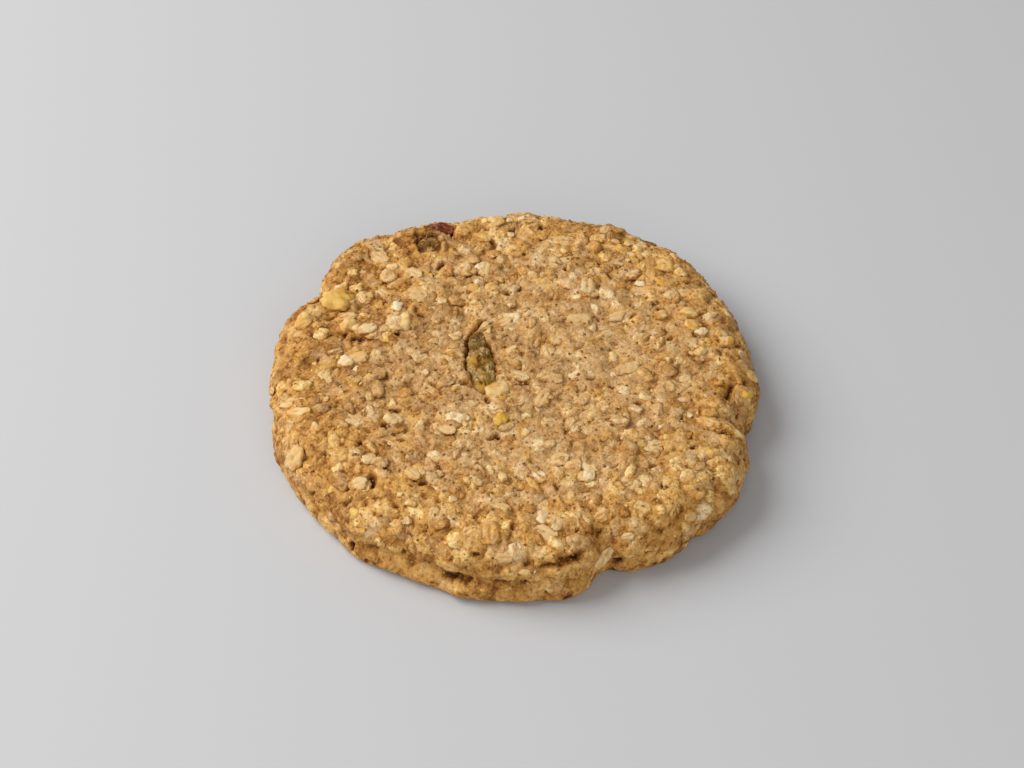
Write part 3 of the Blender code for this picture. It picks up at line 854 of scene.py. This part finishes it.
def lay_piece(name, templates, spots, sizes, sink, lean, material, turns=None, **values):
    """One piece of many copies of the templates, each laid on the dough with its own size and turn.
    Sink is the share of its height that lies under the skin."""
    count = len(spots)
    places, ups = skin_places[spots], upright[spots]
    level = np.clip(ups[:, 2:], 0.0, 1.0)
    angle = np.radians(chance.uniform(0.0, 360.0, count) if turns is None else turns)
    heading = np.stack((np.cos(angle), np.sin(angle), np.zeros(count)), axis=1)
    swing = (heading * ups).sum(axis=1, keepdims=True) / (1.0 + level)
    east = heading - swing * (ups + (0.0, 0.0, 1.0))
    east /= np.linalg.norm(east, axis=1, keepdims=True)
    north = np.cross(ups, east)
    north /= np.linalg.norm(north, axis=1, keepdims=True)
    tip = chance.uniform(-lean, lean, count)[:, None] * (0.3 + 0.7 * level)
    along = east * np.cos(tip) + ups * np.sin(tip)
    spin = np.stack((along, north, np.cross(along, north)), axis=2)
    kinds = np.arange(count) % len(templates)
    sink = sink + FOOT_SINK * (1.0 - fade(0.0025, 0.0080, places[:, 2]))
    sink = np.minimum(sink + SLOPE_SINK * (1.0 - level[:, 0]), MOST_SINK)
    lift = ups * (sizes[:, 2] * (1.0 - 2.0 * sink))[:, None]
    corners, faces, owners, start = [], [], [], 0
    for number in range(count):
        template_corners, template_faces = templates[kinds[number]]
        laid = (template_corners * sizes[number]) @ spin[number].T
        corners.append(laid + places[number] + lift[number])
        faces.append(template_faces + start)
        owners.append(np.full(len(laid), number))
        start += len(laid)
    corners, faces, owners = np.concatenate(corners), np.concatenate(faces), np.concatenate(owners)
    above = ((corners - places[owners]) * ups[owners]).sum(axis=1)
    corners[:, 2] = np.maximum(corners[:, 2], 0.0)
    mesh = bpy.data.meshes.new(name)
    mesh.from_pydata(corners.tolist(), [], faces.tolist())
    mesh.shade_smooth()
    mesh.materials.append(material)
    set_attributes(mesh, **{key: np.asarray(value, float)[owners] for key, value in values.items()})
    # Painted shade on each copy where it meets the skin and below it.
    set_attributes(mesh, crevice=0.55 - 0.55 * fade(-0.0001, 0.00025, above))
    new_piece(name, mesh, "baked_dough")


def clear_of_fruit(points, room):
    """Says which points aren't in a fruit's hollow, nor nearer to it than the room given."""
    clear = np.ones(len(points), bool)
    for fruit in FRUIT.values():
        clear &= (in_hollow(points, fruit, room) > 1.0) | (points[:, 2] < FRUIT_ABOVE)
    return clear


def sizes_of(lengths, width_share, height_share):
    """Half sizes of a group of pieces from their half lengths and ranges of proportions."""
    widths = lengths * chance.uniform(*width_share, len(lengths))
    return np.stack((lengths, widths, lengths * chance.uniform(*height_share, len(lengths))), axis=1)


FRUIT_MARGIN, CRACK_MARGIN, PIECE_CLEARANCE = 0.0004, 0.0005, 0.0013
COATED_APART, COATED_LENGTHS = 0.0031, (0.0009, 0.0022)


def room_for(fruit_clearance, lowest):
    """Says which corners have room for a piece, clear of fruit and cracks and above the foot."""
    clear = clear_of_fruit(bare, fruit_clearance) & (to_crack > PIECE_CLEARANCE)
    return open_skin & clear & (bare_z > lowest)


def strewn(wanted, share, spacing):
    """Corners picked at random among the wanted ones, the fewer the lower the share."""
    return spread_out(wanted & (chance.uniform(0.0, 1.0, len(bare)) < share), spacing)


skin_places = shaped - BOX_MIDDLE
open_skin = is_upper & clear_of_fruit(bare, FRUIT_MARGIN) & (to_crack > CRACK_MARGIN)
spots = strewn(room_for(fruit_clearance=0.002, lowest=0.0030), rough**3, COATED_APART)
count = len(spots)
on_side = fade(0.0100, 0.0085, bare_z[spots])
lay_piece(
    "coated_flakes",
    [chopped_lump(number, 3, 9, 8, 0.34) for number in range(TEMPLATES)],
    spots,
    sizes_of(chance.uniform(*COATED_LENGTHS, count) * (1.0 - 0.25 * on_side), (0.5, 0.9), (0.25, 0.45)),
    chance.uniform(0.62, 0.90, count) + 0.16 * on_side,
    0.2,
    baked_dough,
    light=chance.uniform(-0.5, 1.6, count),
    toast=np.clip(toast[spots] + chance.uniform(-0.5, 0.4, count), 0.0, 1.0),
)

# Chips of nut: chopped, unevenly faced, pale yellow to cream, their cut faces left clean where they
# came to the surface, and here and there a bit of brown skin.

# Across, along and height, half the length and half the width in tenths of a millimetre, the turn
# in degrees, and how creamy: 0 is yellow, 1 white, and below 0 brown skin
NUTS = (
    (-325, 165, 122, 32, 24, -32, 0.15), (-377, 115, 118, 21, 17, 60, 0.4),
    (-305, 107, 120, 21, 16, 17, 0.5), (-304, 13, 120, 18, 13, 0, 0.95),
    (-199, 105, 121, 25, 21, 95, 0.55), (-214, 145, 122, 13, 10, 0, 1.0),
    (-65, 254, 120, 11, 10, -10, 1.0), (-90, 253, 120, 10, 9, 10, 0.9), (-74, 197, 121, 16, 13, -20, 0.6),
    (-41, 201, 121, 15, 13, 0, 0.6), (-132, 158, 122, 15, 9, 110, 0.8), (-35, 383, 110, 17, 16, 0, 0.5),
    (-10, 388, 110, 8, 7, 0, 0.9), (-225, 258, 115, 12, 10, 0, 0.8), (-237, 90, 122, 11, 10, 0, 0.8),
    (-284, -4, 120, 10, 8, 0, 0.9), (200, 300, 118, 14, 12, -5, 0.1), (233, 303, 115, 12, 11, 9, 0.7),
    (232, 216, 116, 11, 9, 0, 1.0), (271, 215, 118, 12, 11, -13, 0.1), (282, 175, 119, 11, 8, -33, 0.8),
    (317, 134, 118, 17, 12, -5, 0.5), (323, 104, 119, 18, 14, 9, 0.5), (340, 88, 116, 13, 10, 28, 0.9),
    (376, 88, 115, 14, 10, 0, 0.45), (386, 66, 108, 14, 11, 10, 0.65), (337, 37, 117, 14, 12, 10, 0.45),
    (381, 182, 95, 16, 10, 105, 0.2), (410, -48, 97, 18, 14, 34, 0.0), (177, 30, 116, 12, 10, 0, 0.7),
    (-25, -134, 122, 16, 15, 62, 0.0), (-200, -358, 105, 12, 10, 0, 0.7), (-181, -350, 110, 9, 9, 0, 0.9),
    (-176, -323, 118, 10, 9, 0, 0.7), (-61, -277, 120, 11, 9, 24, 0.7), (-19, -265, 118, 12, 9, 100, 0.7),
    (-106, -312, 118, 9, 7, 20, 0.9), (-273, -325, 92, 13, 11, -34, 0.1), (3, -416, 100, 8, 7, -7, 0.9),
    (122, -262, 120, 11, 10, 16, 0.95), (340, -203, 118, 17, 14, 20, 0.3),
    (48, -343, 116, 15, 12, 0, 0.95), (258, -145, 119, 10, 8, 38, 0.9), (18, -436, 73, 12, 7, 2, 0.7),
    (-22, -61, 122, 27, 20, -8, 0.5), (157, -396, 61, 22, 11, 82, 0.9),
    (-184, 103, 121, 21, 11, 95, -0.7), (-119, 249, 120, 13, 9, 120, -0.8),
    (-29, 100, 121, 16, 8, -10, -0.9), (140, 60, 121, 7, 4, 15, -1.0), (69, -157, 121, 6, 4, 0, -1.0),
    (270, 314, 112, 9, 6, 0, -0.8),
)
PIECE_UNITS = (1e4, 1e4, 1e4, 1e4, 1e4, 1.0, 1.0)
NUT_TEMPLATES = 12
NUTS_APART, EXTRA_NUT_LENGTHS = 0.0085, (0.0005, 0.0012)
NUT_SCALE, NUT_THICK = 1.08, 0.7
NUT_YELLOW, NUT_CREAM = (0.63, 0.385, 0.060, 1.0), (0.74, 0.55, 0.30, 1.0)
NUT_GOLD, NUT_SKIN = (0.58, 0.28, 0.022, 1.0), (0.46, 0.19, 0.04, 1.0)
NUT_WHITE = (0.79, 0.65, 0.42, 1.0)


def bare_material(name, plain, pale, patch, patch_share, coat_from):
    """Bare nut or grain: two tones by the piece's own cream value, patches of a third, and dough
    stuck on."""
    material, tree, shader = new_material(name)
    place = object_place(tree)
    cream = read_attribute(tree, "cream")
    flesh = mix_colour(tree, cream, plain, pale)
    patches = stretch(tree, noise_texture(tree, place, 420.0, 3.0), 0.48, 0.62, 0.0, patch_share)
    flesh = mix_colour(tree, patches, flesh, patch)
    flesh = mix_colour(tree, stretch(tree, cream, 0.0, -0.9), flesh, NUT_SKIN)
    flesh = mix_colour(tree, stretch(tree, cream, 0.85, 1.0, 0.0, 0.8), flesh, NUT_WHITE)
    # The dough stuck on carries the painted crevice shade where the piece sinks into the skin.
    grain = grain_node(tree, "Toast", "Crevice")
    grain.inputs["Light"].default_value = 0.4
    coat = stretch(tree, noise_texture(tree, place, 650.0, 5.0), coat_from, coat_from + 0.13)
    coat = calculate(tree, "SUBTRACT", coat, read_attribute(tree, "clean"), True)
    buried = stretch(tree, read_attribute(tree, "crevice"), 0.10, 0.40)
    coat = calculate(tree, "ADD", coat, buried, True)
    colour = mix_colour(tree, coat, flesh, grain.outputs["Colour"])
    feed(tree, shader, {"Base Color": colour, "Roughness": 0.6})
    relief = noise_texture(tree, place, 900.0, 4.0)
    finish_skin(tree, shader, relief, 0.6, 0.00020, 0.3, 0.25, (0.0012, 0.0006, 0.0002))
    return material


def spots_of(named, extra):
    """The corners nearest to the named pieces' places, and then the extra ones."""
    return np.append([corner_tree.find(place)[1] for place in named], extra)


def and_extra(named, low, high):
    """The named pieces' values, and then chance ones for the extra pieces."""
    return np.append(named, chance.uniform(low, high, len(extra)))


table = np.array(NUTS) / PIECE_UNITS
extra = strewn(room_for(fruit_clearance=0.001, lowest=0.002), 0.3 + 0.7 * rough, NUTS_APART)
spots = spots_of(table[:, :3], extra)
extra_length = chance.uniform(*EXTRA_NUT_LENGTHS, len(extra))
extra_sizes = np.stack((extra_length, extra_length * 0.8, extra_length * 0.6), axis=1)
named_sizes = np.stack((table[:, 3], table[:, 4], table[:, 4] * NUT_THICK), axis=1) * NUT_SCALE
cream = table[:, 6]
cleanness = np.select(
    [cream == 0.0, cream == 1.0, cream >= 0.9, table[:, 3] > 0.003], [1.0, 0.85, 0.45, 0.5], 0.1
)
named_sink = np.select([table[:, 2] < 0.007, table[:, 2] < 0.009], [-0.05, 0.48], 0.66)
lay_piece(
    "nut_chips",
    [chopped_lump(number + 40, 4, 11, 12, 0.27) for number in range(NUT_TEMPLATES)],
    spots,
    np.concatenate((named_sizes, extra_sizes)),
    and_extra(named_sink, 0.6, 0.8),
    0.15,
    bare_material("nut_flesh", NUT_YELLOW, NUT_CREAM, NUT_GOLD, 0.85, 0.47),
    and_extra(table[:, 5], 0, 360),
    cream=and_extra(cream, 0.2, 0.8),
    clean=np.append(cleanness, np.zeros(len(extra))),
    toast=toast[spots],
)

# Bare oat flakes: rolled grains with the groove of the grain down the middle, thin and a little
# curled, that the dough left uncovered where they lie at the surface.

# Given in the same way as the nuts. Dough sticks to those less creamy than 0.3
OATS = (
    (-337, -12, 119, 18, 15, 80, 0.7), (-267, 92, 122, 18, 13, 19, 0.9),
    (-100, -129, 123, 21, 14, -5, 1.0), (10, -24, 122, 18, 12, -10, 0.9),
    (247, -190, 123, 21, 16, 17, 0.9), (339, -132, 119, 23, 15, -24, 0.8),
    (116, -246, 122, 30, 24, -51, 0.9), (43, -254, 118, 16, 13, -40, 1.0),
    (98, -138, 121, 17, 9, 68, 0.6), (-41, -383, 115, 22, 18, 90, -0.3),
    (-78, -377, 113, 15, 11, 26, 0.9), (100, 325, 120, 25, 17, 6, 0.7), (158, 333, 116, 16, 12, 8, 0.9),
    (91, 277, 122, 31, 17, 12, 0.6), (136, 196, 122, 24, 18, 90, 0.9), (62, 208, 123, 23, 21, 9, 0.1),
    (117, 118, 122, 26, 17, 0, 0.4), (189, 131, 119, 25, 12, 20, 0.8), (59, -23, 122, 17, 14, 0, 0.5),
    (-187, 237, 119, 19, 14, -32, 0.7), (-177, 178, 123, 26, 21, -15, 0.2),
    (-281, 257, 114, 13, 11, -17, 0.8), (-259, 307, 112, 13, 11, 28, 0.7),
    (-250, 30, 120, 14, 10, 90, 0.8), (-20, 108, 123, 20, 12, 30, 0.7), (-393, -76, 113, 26, 15, -7, 0.8),
    (-378, -109, 119, 24, 11, -7, 0.8), (-379, -127, 114, 19, 8, 0, 0.9),
    (-284, -126, 120, 22, 16, -9, 0.7), (-210, -128, 122, 15, 13, 6, 0.8),
    (-382, -189, 84, 28, 21, 5, 0.5), (-268, -271, 116, 17, 14, 12, 0.8),
    (-250, -220, 118, 14, 11, 21, 0.8), (-147, -229, 120, 13, 8, 90, 0.7),
    (382, -231, 89, 28, 10, 52, 0.6), (240, -340, 100, 16, 11, 40, 0.8),
    (218, -322, 115, 17, 14, -16, 0.8), (142, -343, 111, 20, 15, 30, 0.7),
    (53, -376, 112, 22, 17, -26, 0.5), (191, -369, 93, 12, 7, 13, 0.9),
    (266, -276, 118, 15, 12, -30, 0.6), (298, -322, 88, 13, 10, 21, 0.6),
    (-286, -326, 52, 20, 10, -46, 0.8), (-264, -345, 47, 18, 13, -36, 0.8),
)
OATS_APART, EXTRA_OAT_LENGTHS = 0.0090, (0.0012, 0.0024)
OAT_THICK = 0.32
OAT_TAN, OAT_CREAM = (0.58, 0.36, 0.15, 1.0), (0.70, 0.49, 0.235, 1.0)
OAT_GOLD = (0.58, 0.33, 0.09, 1.0)


def oat_flake(number):
    """A flat oval with a groove along its top, bent and with a frayed edge."""
    form = bmesh.new()
    bmesh.ops.create_icosphere(form, subdivisions=4, radius=1.0)
    shift = Vector((0.0, number * 4.0, 0.0))
    for corner in form.verts:
        ball = corner.co.copy()
        fray = 1.0 + 0.28 * noise.noise(ball * 1.5 + shift) + 0.18 * noise.noise(ball * 4.0 + shift)
        groove = 0.45 * math.exp(-((ball.y / 0.13) ** 2)) * (1.0 - ball.x**2)
        top = ball.z * (1.0 - groove if ball.z > 0.0 else 1.0) + 0.25 * ball.x**2 - 0.1 * ball.y**2
        rough_top = 0.25 * noise.noise(ball * 2.5 + shift) + 0.12 * noise.noise(ball * 7.0 + shift)
        corner.co = (ball.x * fray, ball.y * fray, top + rough_top)
    return template_arrays(form)


table = np.array(OATS) / PIECE_UNITS
extra = strewn(room_for(fruit_clearance=0.003, lowest=0.0035), rough**3, OATS_APART)
spots = spots_of(table[:, :3], extra)
extra_length = chance.uniform(*EXTRA_OAT_LENGTHS, len(extra))
named_sizes = np.stack((table[:, 3], table[:, 4], table[:, 4] * OAT_THICK), axis=1)
doughy = np.append(table[:, 6] < 0.3, np.zeros(len(extra)))
lay_piece(
    "oat_flakes",
    [oat_flake(number) for number in range(TEMPLATES)],
    spots,
    np.concatenate((named_sizes, sizes_of(extra_length, (0.55, 0.75), (0.16, 0.24)))),
    chance.uniform(0.52, 0.80, len(spots)) - 0.18 * (bare_z[spots] < 0.0095),
    0.10,
    bare_material("oat_flesh", OAT_TAN, OAT_CREAM, OAT_GOLD, 0.5, 0.44),
    and_extra(table[:, 5], 0, 360),
    cream=and_extra(table[:, 6], 0.2, 1.0),
    clean=chance.uniform(0.0, 0.5, len(spots)) - 0.5 * doughy,
    toast=np.clip(toast[spots] - 0.1, 0.0, 1.0),
)

# Crumbs: grains of broken oat and of the dough itself, each under a millimetre, which the rubbed
# dough sheds and the baking sticks all over the skin.

CRUMBS_APART = 0.00085
CRUMB_LIMIT = 9800


def small_grain(dents, dent_size, shift):
    """A grain of 20 faces, its corners moved in and out by noise."""
    form = bmesh.new()
    bmesh.ops.create_icosphere(form, subdivisions=1, radius=1.0)
    for corner in form.verts:
        corner.co *= 1.0 + dents * noise.noise(corner.co * dent_size + Vector(shift))
    return template_arrays(form)


wanted = is_upper & clear_of_fruit(bare, 0.0001) & (bare_z > 0.0004)
spots = strewn(wanted, 0.25 + 0.75 * rough, CRUMBS_APART)[:CRUMB_LIMIT]
count = len(spots)
lay_piece(
    "crumbs",
    [small_grain(0.7, 1.7, (number * 3.0, 1.0, 0.0)) for number in range(TEMPLATES)],
    spots,
    sizes_of(0.00012 + 0.00030 * chance.uniform(0.0, 1.0, count) ** 2, (0.6, 1.0), (0.4, 0.7)),
    chance.uniform(0.45, 0.75, count),
    0.6,
    baked_dough,
    light=chance.uniform(-0.6, 1.1, count),
    toast=toast[spots],
)

# Specks of bran: bits of the red-brown husk of the grain, thin as paper and under a millimetre,
# baked on where the dough came up with them.

BRAN_APART = 0.0015
BRAN_PATCHES = 0.0055
BRAN_BROWN, BRAN_RED = (0.135, 0.050, 0.020, 1.0), (0.23, 0.098, 0.043, 1.0)
BRAN_DARK = (0.070, 0.023, 0.010, 1.0)

bran_share = 0.20 + 0.33 * soft_noise(bare, BRAN_PATCHES, (1.0, 8.0, 0.0))
spots = strewn(open_skin & (bare_z > FOOT), bran_share, BRAN_APART)
count = len(spots)
lay_piece(
    "bran_specks",
    [small_grain(0.6, 1.2, (number * 2.0, 7.0, 0.0)) for number in range(TEMPLATES)],
    spots,
    sizes_of(0.00014 + 0.00036 * chance.uniform(0.0, 1.0, count) ** 1.5, (0.4, 0.9), (0.15, 0.3)),
    np.full(count, 0.3),
    0.4,
    bare_material("bran_husk", BRAN_BROWN, BRAN_RED, BRAN_DARK, 0.6, 0.50),
    cream=chance.uniform(0.0, 0.85, count),
    clean=chance.uniform(0.3, 1.0, count),
    toast=toast[spots],
)

# A plain pale floor under the cookie, as wide as any view needs. It takes the shadow and throws a
# little light back, and lies a hair below the underside.

FLOOR_SIZE, FLOOR_DROP = 3.0, 0.00005
FLOOR_GREY, FLOOR_DULL = (0.50, 0.50, 0.505, 1.0), 0.7

floor_form = bmesh.new()
bmesh.ops.create_grid(floor_form, x_segments=1, y_segments=1, size=FLOOR_SIZE)
bmesh.ops.translate(floor_form, vec=(0.0, 0.0, -FLOOR_DROP), verts=floor_form.verts)
floor = add_object("floor", form_to_mesh(floor_form, "floor"))
floor_material, floor_tree, floor_shader = new_material("floor")
feed(floor_tree, floor_shader, {"Base Color": FLOOR_GREY, "Roughness": FLOOR_DULL})
floor.data.materials.append(floor_material)

# Soft daylight: a window at the back left, a weak fill from the front, and a pale surround. Each
# lamp is a round panel that faces the cookie.

LAMPS = (
    {"name": "window", "place": (-0.62, 0.16, 0.62), "width": 0.8, "power": 9.3},
    {"name": "fill", "place": (0.10, -0.85, 0.50), "width": 1.0, "power": 3.8},
)
SURROUND_WHITE, SURROUND_STRENGTH = (1.0, 1.0, 1.0, 1.0), 0.31

for lamp in LAMPS:
    panel = bpy.data.lights.new(lamp["name"], "AREA")
    panel.shape = "DISK"
    panel.size = lamp["width"]
    panel.energy = lamp["power"]
    stand = add_object(lamp["name"], panel)
    stand.location = lamp["place"]
    stand.rotation_euler = (-Vector(lamp["place"])).to_track_quat("-Z", "Y").to_euler()
world = bpy.data.worlds.new("surround")
world.use_nodes = True
surround = {"Color": SURROUND_WHITE, "Strength": SURROUND_STRENGTH}
feed(world.node_tree, world.node_tree.nodes["Background"], surround)
bpy.context.scene.world = world
bpy.context.scene.view_settings.view_transform = "Standard"

# The camera: 47 degrees above the horizon, 424 mm from a point a little behind the middle, with a
# long lens, as the photo was taken.

CAMERA_ELEVATION = math.radians(47.0)
CAMERA_DISTANCE = 0.4244
CAMERA_AIM = Vector((-0.0004, 0.0067, 0.0)) - Vector(BOX_MIDDLE)
CAMERA_LENS, CAMERA_SENSOR = 80.86, 36.0
CAMERA_NEAR = 0.01

camera_data = bpy.data.cameras.new("camera")
camera_data.sensor_width = CAMERA_SENSOR
camera_data.lens = CAMERA_LENS
camera_data.clip_start = CAMERA_NEAR
camera = add_object("camera", camera_data)
back = Vector((0.0, -math.cos(CAMERA_ELEVATION), math.sin(CAMERA_ELEVATION)))
camera.location = CAMERA_AIM + back * CAMERA_DISTANCE
camera.rotation_euler = (-back).to_track_quat("-Z", "Y").to_euler()
bpy.context.scene.camera = camera
